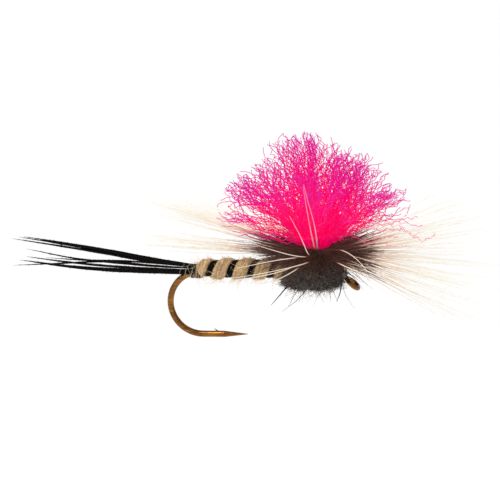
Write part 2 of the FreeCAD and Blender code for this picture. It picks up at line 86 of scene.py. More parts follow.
SHANK_Z = centre("shank_thread")[2]
SHANK_RADIUS = (shank_high[2] - shank_low[2]) / 2
POST_X = centre("post_base_thread")[0]
POST_RADIUS = (wrap_high[1] - wrap_low[1]) / 2
QUILL_RADIUS = (quill_high[1] - quill_low[1]) / 2
QUILL_TURNS = 4
HACKLE_REACH = (barbs_high[1] - barbs_low[1]) / 2
ABDOMEN_Z = centre("abdomen_rib")[2]
ABDOMEN_RADIUS = (abdomen_high[1] - abdomen_low[1]) / 2
THORAX_RADIUS = (thorax_high[1] - thorax_low[1]) / 2
THORAX_Z = thorax_low[2] + THORAX_RADIUS
COLLAR_Z = centre("tail_collar_thread")[2]
COLLAR_RADIUS = (collar_high[1] - collar_low[1]) / 2


# ---------------------------------------------------------------- materials


def new_material(name):
    material = bpy.data.materials.new(name)
    material.use_nodes = True
    tree = material.node_tree
    shader = tree.nodes["Principled BSDF"]
    return material, tree, shader


def node(tree, kind, **inputs):
    made = tree.nodes.new(kind)
    for name, value in inputs.items():
        made.inputs[name].default_value = value
    return made


def ramp(tree, source, stops):
    """A colour ramp fed by a value, with stops of (place, colour)."""
    made = tree.nodes.new("ShaderNodeValToRGB")
    elements = made.color_ramp.elements
    while len(elements) < len(stops):
        elements.new(0.5)
    for element, (place, colour) in zip(elements, stops):
        element.position = place
        element.color = (*colour, 1)
    tree.links.new(source, made.inputs["Fac"])
    return made.outputs["Color"]


def noise(tree, scale, detail=3, stretch=(1, 1, 1)):
    """A noise value in object space, in features per millimetre."""
    place = tree.nodes.new("ShaderNodeTexCoord")
    mapping = tree.nodes.new("ShaderNodeMapping")
    mapping.inputs["Scale"].default_value = [scale / MM * s for s in stretch]
    tree.links.new(place.outputs["Object"], mapping.inputs["Vector"])
    texture = node(tree, "ShaderNodeTexNoise", Scale=1, Detail=detail, Roughness=0.6)
    tree.links.new(mapping.outputs["Vector"], texture.inputs["Vector"])
    return texture.outputs["Fac"]


def multiplied(tree, first, second):
    """The product of two colours."""
    mix = tree.nodes.new("ShaderNodeMix")
    mix.data_type = "RGBA"
    mix.blend_type = "MULTIPLY"
    factor, first_colour, second_colour = mix.inputs[0], mix.inputs[6], mix.inputs[7]
    factor.default_value = 1.0
    tree.links.new(first, first_colour)
    tree.links.new(second, second_colour)
    return mix.outputs[2]


def attribute(tree, name):
    made = tree.nodes.new("ShaderNodeAttribute")
    made.attribute_name = name
    return made.outputs["Fac"]


def bump(tree, shader, height, strength, distance):
    made = node(tree, "ShaderNodeBump", Strength=strength, Distance=distance * MM)
    tree.links.new(height, made.inputs["Height"])
    tree.links.new(made.outputs["Normal"], shader.inputs["Normal"])


def fibre_material(name, along_stops, tint_stops, roughness, gloss=0.5, sheen=0.0, speckle=0.25, painted_glow=0.0):
    """A fibre's colour runs from root to tip, and each fibre has a tint of its own.

    Its last argument is painted light: the fibre's colour given out as emission, for the light that comes
    through thin pale fibres and the light that a fluorescent dye gives back.
    """
    material, tree, shader = new_material(name)
    along = ramp(tree, attribute(tree, "along"), along_stops)
    tint = ramp(tree, attribute(tree, "tint"), tint_stops)
    flecks = ramp(tree, noise(tree, 6), [(0.35, (1 - speckle,) * 3), (0.7, (1, 1, 1))])
    colour = multiplied(tree, multiplied(tree, along, tint), flecks)
    tree.links.new(colour, shader.inputs["Base Color"])
    # Painted light: the fibre gives out its own colour as emission, though it is no lamp.
    if painted_glow:
        tree.links.new(colour, shader.inputs["Emission Color"])
        shader.inputs["Emission Strength"].default_value = painted_glow
    shader.inputs["Roughness"].default_value = roughness
    shader.inputs["Specular IOR Level"].default_value = gloss
    shader.inputs["Sheen Weight"].default_value = sheen
    return material


def bronze():
    """Bronze lacquer over steel wire: painted reflection makes it golden on the wire's sides, and painted
    shade makes it darker above, below and in front, with drawn-wire streaks and dark freckles."""
    material, tree, shader = new_material("bronze_wire")
    streaks = noise(tree, 1.2, 5, (0.6, 3, 3))
    colours = [(0.3, (0.12, 0.040, 0.004)), (0.55, (0.27, 0.108, 0.015)), (0.8, (0.52, 0.26, 0.055))]
    freckles = ramp(tree, noise(tree, 5, 2), [(0.3, (0.45, 0.4, 0.35)), (0.42, (1, 1, 1))])
    # Painted reflection and shade: the colour is full where the wire's surface faces along Y and darkened
    # where it faces up, down, ahead or back.
    place = tree.nodes.new("ShaderNodeTexCoord")
    normal = tree.nodes.new("ShaderNodeSeparateXYZ")
    tree.links.new(place.outputs["Normal"], normal.inputs["Vector"])
    sideways = tree.nodes.new("ShaderNodeMath")
    sideways.operation = "ABSOLUTE"
    tree.links.new(normal.outputs["Y"], sideways.inputs[0])
    painted_reflection_shade = ramp(tree, sideways.outputs[0], [(0.15, (0.42, 0.36, 0.30)), (0.8, (1, 1, 1))])
    colour = multiplied(tree, ramp(tree, streaks, colours), freckles)
    tree.links.new(multiplied(tree, colour, painted_reflection_shade), shader.inputs["Base Color"])
    rough = ramp(tree, noise(tree, 2.5, 4), [(0.3, (0.20,) * 3), (0.8, (0.38,) * 3)])
    tree.links.new(rough, shader.inputs["Roughness"])
    shader.inputs["Metallic"].default_value = 0.85
    shader.inputs["Coat Weight"].default_value = 0.15
    shader.inputs["Coat Roughness"].default_value = 0.12
    bump(tree, shader, noise(tree, 8, 3, (0.4, 2, 2)), 0.15, 0.02)
    return material


def wound_thread(name, dark, light):
    """Close turns of thread, as a fine wave across the shank, for layers that are mostly covered."""
    material, tree, shader = new_material(name)
    place = tree.nodes.new("ShaderNodeTexCoord")
    wave = node(tree, "ShaderNodeTexWave", Scale=3.2 / MM, Distortion=1.5, Detail=2)
    wave.wave_type = "BANDS"
    wave.bands_direction = "DIAGONAL"
    tree.links.new(place.outputs["Object"], wave.inputs["Vector"])
    # Painted shade and highlight: the thread is dark in the wave's troughs, the grooves between turns, and
    # light on its crests, as the bump is.
    tree.links.new(ramp(tree, wave.outputs["Fac"], [(0.2, dark), (0.9, light)]), shader.inputs["Base Color"])
    shader.inputs["Roughness"].default_value = 0.5
    bump(tree, shader, wave.outputs["Fac"], 0.6, 0.02)
    return material


def wool(name, dark, middle, light, scale, sheen=0.3):
    """The felted ground under a dubbed body's loose fibres."""
    material, tree, shader = new_material(name)
    clumps = ramp(tree, noise(tree, scale, 6), [(0.25, dark), (0.5, middle), (0.8, light)])
    tree.links.new(clumps, shader.inputs["Base Color"])
    shader.inputs["Roughness"].default_value = 0.9
    shader.inputs["Sheen Weight"].default_value = sheen
    bump(tree, shader, noise(tree, scale * 4, 4), 0.8, 0.06)
    return material


def cement():
    material, tree, shader = new_material("head_cement")
    stops = [(0.3, (0.02, 0.014, 0.01)), (0.8, (0.07, 0.05, 0.035))]
    tree.links.new(ramp(tree, noise(tree, 3), stops), shader.inputs["Base Color"])
    shader.inputs["Roughness"].default_value = 0.12
    shader.inputs["Coat Weight"].default_value = 0.8
    bump(tree, shader, noise(tree, 2), 0.2, 0.03)
    return material


WHITE_TINTS = [(0.0, (0.82, 0.82, 0.82)), (1.0, (1, 1, 1))]
BRONZE = bronze()
BLACK_THREAD = wound_thread("black_thread", (0.004, 0.003, 0.003), (0.03, 0.026, 0.026))
BLACK_HAIR = fibre_material(
    "black_hair",
    [(0.0, (0.003, 0.002, 0.002)), (0.7, (0.0035, 0.0025, 0.002)), (1.0, (0.012, 0.009, 0.007))],
    [(0.0, (0.6, 0.6, 0.6)), (0.7, (1, 1, 1)), (1.0, (3.0, 2.4, 2.0))],
    0.5,
    gloss=0.05,
)
PALE_FIBRE = fibre_material(
    "pale_fibre", [(0.0, (0.66, 0.5, 0.34)), (1.0, (0.78, 0.64, 0.48))], WHITE_TINTS, 0.5, sheen=0.2
)
# Painted light: the fur gives out a faint glow of its own colour.
CREAM_FUR = fibre_material(
    "cream_fur",
    [(0.0, (0.50, 0.31, 0.14)), (0.4, (0.76, 0.54, 0.29)), (1.0, (0.92, 0.75, 0.49))],
    [(0.0, (0.45, 0.39, 0.29)), (0.45, (0.92, 0.88, 0.80)), (0.8, (1.3, 1.27, 1.2)), (1.0, (1.9, 1.85, 1.8))],
    0.7,
    sheen=0.2,
    painted_glow=0.08,
)
CREAM_WOOL = wool("cream_wool", (0.27, 0.15, 0.06), (0.54, 0.35, 0.165), (0.76, 0.57, 0.33), 1.6)
WRAP_THREAD = fibre_material(
    "wrap_thread", [(0.0, (0.010, 0.008, 0.006)), (1.0, (0.018, 0.014, 0.011))], WHITE_TINTS, 0.5, gloss=0.15
)
# Painted glints: the top of the tint ramp makes fibres tinted near 1, the filaments across the floss, several
# times brighter than the black floss.
RIB_FLOSS = fibre_material(
    "rib_floss", [(0.0, (0.003, 0.0025, 0.002)), (1.0, (0.003, 0.0025, 0.002))],
    [(0.0, (0.6, 0.6, 0.6)), (0.8, (1.6, 1.5, 1.4)), (1.0, (8, 7, 5.5))], 0.45, gloss=0.08,
)
DARK_FUR = fibre_material(
    "dark_fur",
    [(0.0, (0.090, 0.071, 0.060)), (1.0, (0.21, 0.17, 0.148))],
    [(0.0, (0.3, 0.3, 0.3)), (0.7, (1.1, 1.1, 1.1)), (1.0, (3.0, 2.9, 2.8))],
    0.6,
    gloss=0.3,
)
DARK_WOOL = wool(
    "dark_wool", (0.034, 0.027, 0.023), (0.080, 0.065, 0.056), (0.16, 0.13, 0.115), 1.8, sheen=0.1
)
# Painted light: the yarn glows, for the light that its fluorescent dye gives back.
PINK = fibre_material(
    "pink_yarn",
    [
        (0.0, (0.92, 0.0, 0.145)),
        (0.45, (0.93, 0.0, 0.175)),
        (0.75, (0.80, 0.0, 0.235)),
        (1.0, (0.64, 0.002, 0.31)),
    ],
    [(0.0, (0.88, 1.0, 1.15)), (0.35, (1.0, 1.0, 1.05)), (1.0, (1.0, 1.0, 0.95))],
    0.5,
    speckle=0.1,
    painted_glow=0.39,
)
BADGER = [
    (0.0, (0.060, 0.027, 0.021)),
    (0.44, (0.076, 0.036, 0.028)),
    (0.51, (0.16, 0.085, 0.055)),
    (0.56, (0.68, 0.50, 0.36)),
    (0.66, (0.81, 0.74, 0.61)),
    (1.0, (0.84, 0.82, 0.73)),
]
# Painted light: the barbs glow, for the light that comes through the thin pale barbs.
HACKLE = fibre_material(
    "hackle_barb", BADGER, [(0.0, (0.88, 0.84, 0.78)), (0.6, (1, 1, 1)), (1.0, (1.03, 1.02, 1.0))],
    0.5, gloss=0.3, speckle=0.06, painted_glow=0.27,
)
# Painted light: the far end of this tint ramp turns barbs rose-red, for the wing's light shining through
# them, and they glow for light through the thin barbs.
STOUT_BARB = fibre_material(
    "stout_barb", BADGER, [(0.0, (0.88, 0.80, 0.74)), (0.3, (0.96, 0.90, 0.86)), (1.0, (1.05, 0.27, 0.42))],
    0.5, gloss=0.3, speckle=0.06, painted_glow=0.27,
)


# ---------------------------------------------------------------- meshes


def unit(vectors):
    return vectors / np.maximum(np.linalg.norm(vectors, axis=-1, keepdims=True), 1e-12)


def spherical(azimuth, rise):
    """Unit vectors from azimuth, counted from +X towards +Y, and rise above the level, in radians."""
    azimuth, rise = np.broadcast_arrays(azimuth, rise)
    level = np.cos(rise)
    return np.stack([level * np.cos(azimuth), level * np.sin(azimuth), np.sin(rise)], -1)


def around(angle):
    """Unit vectors out of and round a body that lies along X, at angles from straight down."""
    out = np.stack([0 * angle, np.sin(angle), -np.cos(angle)], -1)
    return out, np.stack([0 * angle, np.cos(angle), np.sin(angle)], -1)


def ring_points(x, angle, radius, axis_z):
    """Points round an axis that lies along X at a height, at angles from straight down."""
    return np.stack([x, radius * np.sin(angle), axis_z - radius * np.cos(angle)], -1)


def new_piece(name, points, faces, material, body, attributes=()):
    """A mesh piece from points in millimetres, which rides on a body of the frame."""
    mesh = bpy.data.meshes.new(name)
    mesh.from_pydata((np.asarray(points) * MM).tolist(), [], faces)
    mesh.shade_smooth()
    for label, values in attributes:
        made = mesh.attributes.new(label, "FLOAT", "POINT")
        made.data.foreach_set("value", np.asarray(values, np.float32).ravel())
    mesh.materials.append(material)
    piece = bpy.data.objects.new(name, mesh)
    bpy.context.scene.collection.objects.link(piece)
    if body:
        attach(piece, body)
    return piece


def fibres(name, lines, radii, along, tint, material, body, sides=4):
    """Closed tubes along many lines at once, on a body, or on none.

    lines is fibres x points x 3. radii, along and tint are one number, or one a fibre or a point.
    """
    count, steps, _ = lines.shape
    radii, along, tint = (per_point(values, count, steps) for values in (radii, along, tint))
    tangent = unit(np.gradient(lines, axis=1))
    whole = unit(lines[:, -1] - lines[:, 0])
    side = np.cross(whole, np.where(np.abs(whole[:, 2:]) < 0.8, UP, [1.0, 0.0, 0.0]))
    side = np.repeat(unit(side)[:, None], steps, 1)
    first = unit(side - tangent * np.sum(side * tangent, -1, keepdims=True))
    second = np.cross(tangent, first)
    turn = 2 * math.pi * np.arange(sides) / sides
    ring = first[:, :, None] * np.cos(turn)[:, None] + second[:, :, None] * np.sin(turn)[:, None]
    points = lines[:, :, None] + ring * radii[:, :, None, None]
    index = np.arange(count * steps * sides).reshape(count, steps, sides)
    ahead = np.roll(index, -1, 2)
    quads = np.stack([index[:, :-1], ahead[:, :-1], ahead[:, 1:], index[:, 1:]], -1).reshape(-1, 4)
    caps = [*index[:, 0, ::-1].tolist(), *index[:, -1].tolist()]
    spread = [np.repeat(values.reshape(-1), sides) for values in (along, tint)]
    return new_piece(
        name, points.reshape(-1, 3), quads.tolist() + caps, material, body,
        (("along", spread[0]), ("tint", spread[1])),
    )


def taper(count, steps, root, tip, power=1.0):
    """Radii from root to tip for each fibre; root and tip are numbers or one number a fibre."""
    t = np.linspace(0, 1, steps) ** power
    root = np.broadcast_to(root, (count,))[:, None]
    tip = np.broadcast_to(tip, (count,))[:, None]
    return root + (tip - root) * t


def levels(count, steps):
    """How far along its fibre each point is, from 0 to 1."""
    return np.broadcast_to(np.linspace(0, 1, steps), (count, steps))


def per_point(values, count, steps):
    """Values as one a point, from one number, one a fibre or one a point."""
    values = np.asarray(values, float)
    if values.ndim == 1:
        values = values[:, None]
    return np.broadcast_to(values, (count, steps))


def wander(count, steps, size):
    """A smooth random drift that starts at nothing and grows along each fibre."""
    t = np.linspace(0, 1, steps)
    drift = np.zeros((count, steps, 3))
    for wave in (1, 2, 3):
        phase = rng.uniform(0, 2 * math.pi, (count, 1, 3))
        swing = rng.normal(0, size / wave, (count, 1, 3))
        drift += swing * (np.sin(wave * math.pi * t[None, :, None] + phase) - np.sin(phase))
    return drift


def lathe(name, axis_z, x, radius_at, material):
    """A closed body round an axis along X. radius_at takes x and angle grids."""
    angle = np.linspace(0, 2 * math.pi, 96, endpoint=False)
    grid_x, grid_angle = np.meshgrid(x, angle, indexing="ij")
    points = ring_points(grid_x, grid_angle, radius_at(grid_x, grid_angle), axis_z)
    index = np.arange(points[..., 0].size).reshape(grid_x.shape)
    ahead = np.roll(index, -1, 1)
    quads = np.stack([index[:-1], ahead[:-1], ahead[1:], index[1:]], -1).reshape(-1, 4)
    caps = [index[0, ::-1].tolist(), index[-1].tolist()]
    return new_piece(name, points.reshape(-1, 3), quads.tolist() + caps, material, "fly")


# ---------------------------------------------------------------- abdomen and rib

RIB_PITCH = 1.72
RIB_START = rib_low[0] + 0.2
RIB_END = rib_high[0] + 0.25
# The share of a turn, on either side of the rib's middle, that the dubbing's fibres leave bare.
RIB_BARE = 0.185


def rib_phase(x, angle):
    """How far round from the rib a point of the abdomen is, in turns from -0.5 to 0.5."""
    turns = (x - RIB_START) / RIB_PITCH + angle / (2 * math.pi)
    return (turns + 0.5) % 1 - 0.5


def rib_angle(x):
    """How far round the body the rib is at x, from straight down."""
    return -2 * math.pi * (x - RIB_START) / RIB_PITCH


def abdomen_core(x):
    """The abdomen's radius in the rib's groove: a long barrel with a tapered back end."""
    t = (x - abdomen_low[0]) / (abdomen_high[0] - abdomen_low[0])
    body = ABDOMEN_RADIUS * (0.71 + 0.07 * np.sin(math.pi * np.clip(t, 0, 1) * 0.8))
    return body * (1 - 0.55 * np.exp(-((np.maximum(t + 0.07, 0) / 0.05) ** 2)))


def abdomen_radius(x, angle):
    """Bulges of dubbing stand up between the rib's turns."""
    away = np.clip(np.abs(rib_phase(x, angle)) - 0.15, 0, None)
    bulge = 1 - np.exp(-((away / 0.10) ** 2))
    lumps = 0.03 * np.sin(5 * x + 3 * angle) + 0.02 * np.sin(11 * x - 5 * angle)
    return abdomen_core(x) * (1 + 0.17 * bulge) + lumps * bulge


def on_abdomen(x, angle, lift):
    return ring_points(x, angle, abdomen_radius(x, angle) + lift, ABDOMEN_Z)


def abdomen():
    x = np.linspace(abdomen_low[0] - 0.45, abdomen_high[0] + 0.3, 150)
    body = lathe("abdomen_wool", ABDOMEN_Z, x, abdomen_radius, CREAM_WOOL)
    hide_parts("abdomen_dubbing")
    wrapped_fur()
    loose_fur()


def wrapped_fur():
    """Spun fibres lie round the body along the dubbing's wraps, beside the rib and rarely over it."""
    count, steps = 4400, 8
    t = levels(count, steps)
    x = rng.uniform(abdomen_low[0] - 0.4, abdomen_high[0] + 0.1, (count, 1))
    phase = rng.uniform(RIB_BARE, 1 - RIB_BARE, (count, 1))
    angle = 2 * math.pi * (phase - (x - RIB_START) / RIB_PITCH)
    sweep = rng.uniform(0.5, 1.5, (count, 1)) * np.where(rng.random((count, 1)) < 0.5, -1, 1)
    drift = rng.normal(0, 0.05, (count, 1))
    line_angle = angle + sweep * t
    line_x = x - sweep * t * RIB_PITCH / (2 * math.pi) + drift * t + 0.02 * np.sin(7 * t + 9 * angle)
    lift = rng.gamma(1.3, 0.042, (count, 1)) * t**1.5 + 0.025 * np.sin(9 * t + 7 * x)
    lines = on_abdomen(line_x, line_angle, lift) + wander(count, steps, 0.02)
    # Neighbouring fibres share a shade, which makes streaks along the wraps.
    shades = 97
    streak = (phase[:, 0] * 16 + 0.6 * np.sin(2.3 * x[:, 0]) + 7 * np.floor(x[:, 0] * 1.3)).astype(int)
    tint = 0.6 * rng.random(shades)[streak % shades] + 0.4 * rng.random(count)
    radii = taper(count, steps, rng.uniform(0.011, 0.022, count), 0.006)
    fibres("abdomen_fur", lines, radii, t, tint, CREAM_FUR, "fly", 3)


def loose_fur():
    """Loose guard fibres, which stand off the body between the rib's turns, most of them below."""
    count, steps = 900, 10
    t = levels(count, steps)
    angle = rng.normal(0, 1.6, (count, 1))
    turn = rng.integers(-1, 4, (count, 1)) + rng.uniform(0.2, 0.8, (count, 1))
    x = np.maximum(RIB_START + RIB_PITCH * (turn - angle / (2 * math.pi)), abdomen_low[0] - 0.3)
    out, round_body = around(angle)
    heading = unit(
        out * 0.55
        + round_body * rng.normal(0, 0.8, (count, 1, 1))
        + ALONG * rng.normal(-0.25, 0.7, (count, 1, 1))
    )
    length = rng.gamma(4, 0.15, (count, 1, 1))
    lines = on_abdomen(x, angle, -0.03) + heading * length * t[..., None] + wander(count, steps, 0.07)
    fibres(
        "abdomen_loose_fibres", lines, taper(count, steps, 0.011, 0.004), t,
        rng.uniform(0.4, 1, count), CREAM_FUR, "fly", 3,
    )


def rib():
    """Flat floss of many strands side by side, wound in the grooves of the abdomen."""
    strands, steps = 11, 260
    half_width, strand_radius = 0.235, 0.036
    s = np.linspace(RIB_START - 0.08, RIB_END, steps)
    # Both ends sink into the dubbing.
    sunk = 0.12 * (np.exp(-((s - s[0]) / 0.2) ** 2) + np.exp(-((s[-1] - s) / 0.2) ** 2))
    lines = []
    for strand in range(strands):
        across = 2 * strand / (strands - 1) - 1
        x = s + across * half_width + 0.012 * np.sin(s * 4 + strand * 2.4)
        radius = abdomen_core(s) + 0.035 - 0.02 * across**2 - sunk + 0.008 * np.sin(s * 7 + strand)
        lines.append(ring_points(x, rib_angle(s), radius, ABDOMEN_Z))
    piece = fibres(
        "abdomen_rib_floss", np.array(lines), strand_radius, levels(strands, steps),
        np.linspace(0, 0.8, strands), RIB_FLOSS, "fly", 6,
    )
    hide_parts("abdomen_rib")
    rib_filaments()


def rib_filaments():
    """Single filaments, which cross the floss, tinted bright as painted glints."""
    count, steps = 16, 6
    t = levels(count, steps)
    s = rng.uniform(RIB_START + 0.1, RIB_END - 0.1, (count, 1))
    across = np.where(rng.random((count, 1)) < 0.5, -1, 1)
    x = s + 0.25 * across * (2 * t - 1)
    angle = rib_angle(s) + rng.normal(0.25, 0.1, (count, 1)) * (2 * t - 1)
    radius = abdomen_core(x) + 0.07 - 0.02 * (2 * t - 1) ** 2
    fibres(
        "abdomen_rib_filaments", ring_points(x, angle, radius, ABDOMEN_Z), 0.007, t,
        rng.uniform(0.7, 1.0, count), RIB_FLOSS, "fly", 3,
    )


# ---------------------------------------------------------------- tail


def smooth_lines(points, steps):
    """Catmull-Rom curves through the points of each line. points is lines x points x 3."""
    points = np.asarray(points, float)
    ends = (2 * points[:, :1] - points[:, 1:2], 2 * points[:, -1:] - points[:, -2:-1])
    padded = np.concatenate([ends[0], points, ends[1]], 1)
    spans = points.shape[1] - 1
    place = np.linspace(0, spans, steps)
    span = np.minimum(place.astype(int), spans - 1)
    u = (place - span)[None, :, None]
    a, b, c, d = (padded[:, span + offset] for offset in range(4))
    return 0.5 * (2 * b + (c - a) * u + (2 * a - 5 * b + 4 * c - d) * u**2 + (3 * b - a - 3 * c + d) * u**3)


TAIL_TIP_X = tail_low[0]
TAIL_ROOT_X = collar_high[0] + 0.2
TAIL_LENGTH = TAIL_ROOT_X - TAIL_TIP_X
# Each hair: where it lies round the shank, in degrees from the near side; how far its tip falls
# short; the tip's sideways place; its thickness; and its height above the shank at each quarter
# of its length.
TAIL_HAIRS = (
    (75, 0.0, -0.14, 0.105, (0.82, 1.52, 2.18, 2.80)),
    (92, 0.5, 0.00, 0.110, (0.90, 1.62, 2.27, 2.88)),
    (110, 0.9, 0.14, 0.100, (0.98, 1.72, 2.36, 2.94)),
    (84, 2.4, -0.20, 0.085, (0.78, 1.46, 2.12, 2.72)),
    (52, 1.3, -0.45, 0.085, (0.50, 0.84, 1.26, 1.98)),
    (44, 0.0, -0.35, 0.080, (0.56, 0.90, 0.74, 0.58)),
    (140, 2.6, 0.45, 0.080, (0.58, 0.82, 0.90, 1.14)),
    (-10, 0.7, -0.55, 0.120, (0.02, 0.18, 0.52, 1.06)),
    (8, 1.1, -0.40, 0.100, (0.10, 0.24, 0.50, 0.94)),
    (186, 0.9, 0.60, 0.110, (0.06, 0.26, 0.62, 1.10)),
    (30, 5.0, -0.30, 0.095, (0.24, 0.42, 0.58, 0.84)),
)


def tail():
    """Stiff hairs with fine barbules along them."""
    count, steps = len(TAIL_HAIRS), 60
    turn, short, side, thick = np.array([hair[:4] for hair in TAIL_HAIRS]).T
    rises = np.array([hair[4] for hair in TAIL_HAIRS])
    ring = SHANK_RADIUS + 0.10
    root_y, root_z = -ring * np.cos(np.radians(turn)), ring * np.sin(np.radians(turn))
    quarters = np.linspace(0, 1, 5)[None]
    x = TAIL_ROOT_X - (TAIL_LENGTH - short)[:, None] * quarters
    y = root_y[:, None] + (side - root_y)[:, None] * quarters
    z = SHANK_Z + np.concatenate([root_z[:, None], rises], 1)
    lines = smooth_lines(np.stack([x, y, z], -1), steps) + wander(count, steps, 0.015)
    t = levels(count, steps)
    swell = np.clip(0.75 + 1.4 * t, 0, 1) * np.clip(1.08 - t**4, 0.12, 1)
    radii = thick[:, None] * swell * (1 + 0.05 * np.sin(37 * t + turn[:, None]))
    stems = fibres("tail_hairs", lines, radii, t, rng.random(count) * 0.7, BLACK_HAIR, None, 8)
    spikes = side_branches(lines, radii, 110, (0.04, 0.97), (0.10, 0.22))
    barbules = fibres(
        "tail_barbules", spikes, taper(len(spikes), 3, 0.018, 0.005), levels(len(spikes), 3),
        rng.random(len(spikes)), BLACK_HAIR, None, 3,
    )
    for piece in (stems, barbules):
        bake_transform(piece)
    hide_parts("tail_hairs_lower", "tail_hairs_middle", "tail_hairs_upper")


def side_branches(lines, radii, per_line, span, reaches):
    """Short spikes that leave each line all round and lie close along it: spikes x 3 points x 3.

    span is the share of the line that bears them, and reaches their least and greatest length.
    """
    count, steps, _ = lines.shape
    spot = rng.uniform(*span, (count, per_line)) * (steps - 1)
    low = spot.astype(int)
    share = (spot - low)[..., None]
    rows = np.arange(count)[:, None]
    base = (lines[rows, low] * (1 - share) + lines[rows, low + 1] * share).reshape(-1, 3)
    ahead = unit(lines[rows, low + 1] - lines[rows, low]).reshape(-1, 3)
    thick = radii[rows, low].reshape(-1, 1)
    out = unit(np.cross(ahead, rng.normal(size=ahead.shape)))
    reach = rng.uniform(*reaches, (len(base), 1))
    tips = base + out * (thick + 0.3 * reach) + ahead * reach
    return np.stack([base + out * thick * 0.6, base + out * thick * 1.1 + ahead * reach * 0.4, tips], 1)


BINDING_RADIUS = COLLAR_RADIUS - 0.05


def coil(back, ahead, radius, turns, steps, wobble=0.0):
    """A left-hand coil round the tail's root, as one line."""
    t = np.linspace(0, 1, steps)
    angle = -2 * math.pi * turns * t
    x = back + (ahead - back) * t + wobble * np.sin(t * turns * 2.1)
    uneven = radius * (1 + 0.03 * np.sin(7.3 * t * turns))
    return ring_points(x, angle, uneven, COLLAR_Z)


def tail_binding():
    """Turns of black thread over the tail's root."""
    turns = 16
    steps = turns * 36
    line = coil(collar_low[0] - 0.1, abdomen_low[0] + 0.05, BINDING_RADIUS, turns, steps)
    wraps = fibres(
        "tail_thread_wraps", line[None], 0.045, levels(1, steps), 0.3, WRAP_THREAD, "fly", 6
    )
    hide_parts("tail_collar_thread")
    tail_strays()


def tail_strays():
    """Pale stray fibres, which loop loosely round the tail's root and over the first of its hairs."""
    count, steps = 11, 60
    loops = []
    for index in range(count):
        back = collar_low[0] - rng.uniform(-0.6, 1.1)
        ahead = back + rng.uniform(0.2, 1.1)
        loop = coil(back, ahead, BINDING_RADIUS + rng.uniform(0.03, 0.12), rng.uniform(0.4, 1.1), steps, 0.1)
        if index % 2:
            loop = loop * [1, -1, 1]
        loops.append(loop + wander(1, steps, 0.07)[0])
    fibres(
        "tail_pale_strays", np.array(loops), 0.011, levels(count, steps), rng.random(count),
        PALE_FIBRE, "fly", 4,
    )


# ---------------------------------------------------------------- thorax


def thorax_tufts(x, angle):
    """Where the thorax's dubbing stands out in tufts and where it lies low, from -1 to 1."""
    return np.sin(9 * x - 5 * angle)


def thorax_radius(x, angle):
    """A plump, lumpy oval, fullest a little ahead of its middle."""
    t = (x - thorax_low[0]) / (thorax_high[0] - thorax_low[0])
    fullest, narrowing = 0.535, 1.78
    oval = np.sqrt(np.clip(1 - np.abs(narrowing * (t - fullest)) ** 2.4, 0.06, 1))
    return THORAX_RADIUS * 0.87 * oval + 0.06 * np.sin(4 * x + 2 * angle) + 0.08 * thorax_tufts(x, angle)


def on_thorax(x, angle, lift=0.0):
    return ring_points(x, angle, thorax_radius(x, angle) + lift, THORAX_Z)


def thorax():
    x = np.linspace(thorax_low[0] + 0.1, thorax_high[0] + 0.25, 80)
    body = lathe("thorax_wool", THORAX_Z, x, thorax_radius, DARK_WOOL)
    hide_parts("thorax_dubbing")
    thorax_fur()


def thorax_fur():
    """A tangled coat of short fur, longer where the tufts are."""
    count, steps = 5200, 7
    t = levels(count, steps)
    x = rng.uniform(thorax_low[0] + 0.25, thorax_high[0] + 0.2, (count, 1))
    angle = rng.uniform(-2.6, 2.6, (count, 1))
    out, round_body = around(angle)
    heading = unit(
        out * 0.5
        + round_body * rng.normal(0, 0.8, (count, 1, 1))
        + ALONG * rng.normal(-0.25, 0.9, (count, 1, 1))
    )
    length = rng.gamma(5, 0.09, (count, 1, 1)) * ((1 + 0.4 * thorax_tufts(x, angle)) * t)[..., None]
    lines = on_thorax(x, angle, -0.05) + heading * length - out * 0.4 * length**2
    lines = lines + wander(count, steps, 0.05)
    fibres(
        "thorax_fur", lines, taper(count, steps, rng.uniform(0.012, 0.024, count), 0.006), t,
        rng.random(count) ** 1.5, DARK_FUR, "fly", 3,
    )


# Guard hairs teased out as legs, placed in their CAD node's box: where each leaves the body and
# ends along the box, its end's share of the depth, its sideways place, bow and thickness.
LEG_HAIRS = (
    (0.26, 0.01, 0.69, -0.70, 0.00, 0.060),
    (0.50, 0.14, 0.98, -0.35, 0.07, 0.032),
    (0.42, 0.20, 0.85, 0.20, -0.04, 0.036),
    (0.33, 0.23, 0.48, -0.40, 0.04, 0.026),
    (0.57, 0.66, 0.58, -0.45, -0.16, 0.026),
    (0.62, 0.55, 0.50, 0.35, 0.06, 0.024),
    (0.73, 0.81, 0.58, -0.30, -0.06, 0.028),
    (0.87, 0.80, 0.58, -0.50, 0.03, 0.055),
    (0.84, 0.99, 0.95, 0.25, -0.16, 0.022),
)


def leg_hairs():
    low, high = node_box("thorax_guard_hairs")
    start_share, end_share, depth, side, bow, thick = np.array(LEG_HAIRS).T
    count, steps = len(LEG_HAIRS), 26
    length = high[0] - low[0]
    start = np.stack([low[0] + start_share * length, side * 0.8, np.full(count, high[2] + 0.35)], -1)
    end = np.stack([low[0] + end_share * length, side, high[2] + (low[2] - high[2]) * depth], -1)
    middle = (start + end) / 2 + 2 * bow[:, None] * [1, 0, -1]
    lines = smooth_lines(np.stack([start, middle, end], 1), steps) + wander(count, steps, 0.03)
    piece = fibres(
        "thorax_leg_hairs", lines, taper(count, steps, thick, thick * 0.25, 1.5), levels(count, steps),
        rng.random(count) * 0.5, BLACK_HAIR, "fly", 5,
    )
    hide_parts("thorax_guard_hairs")


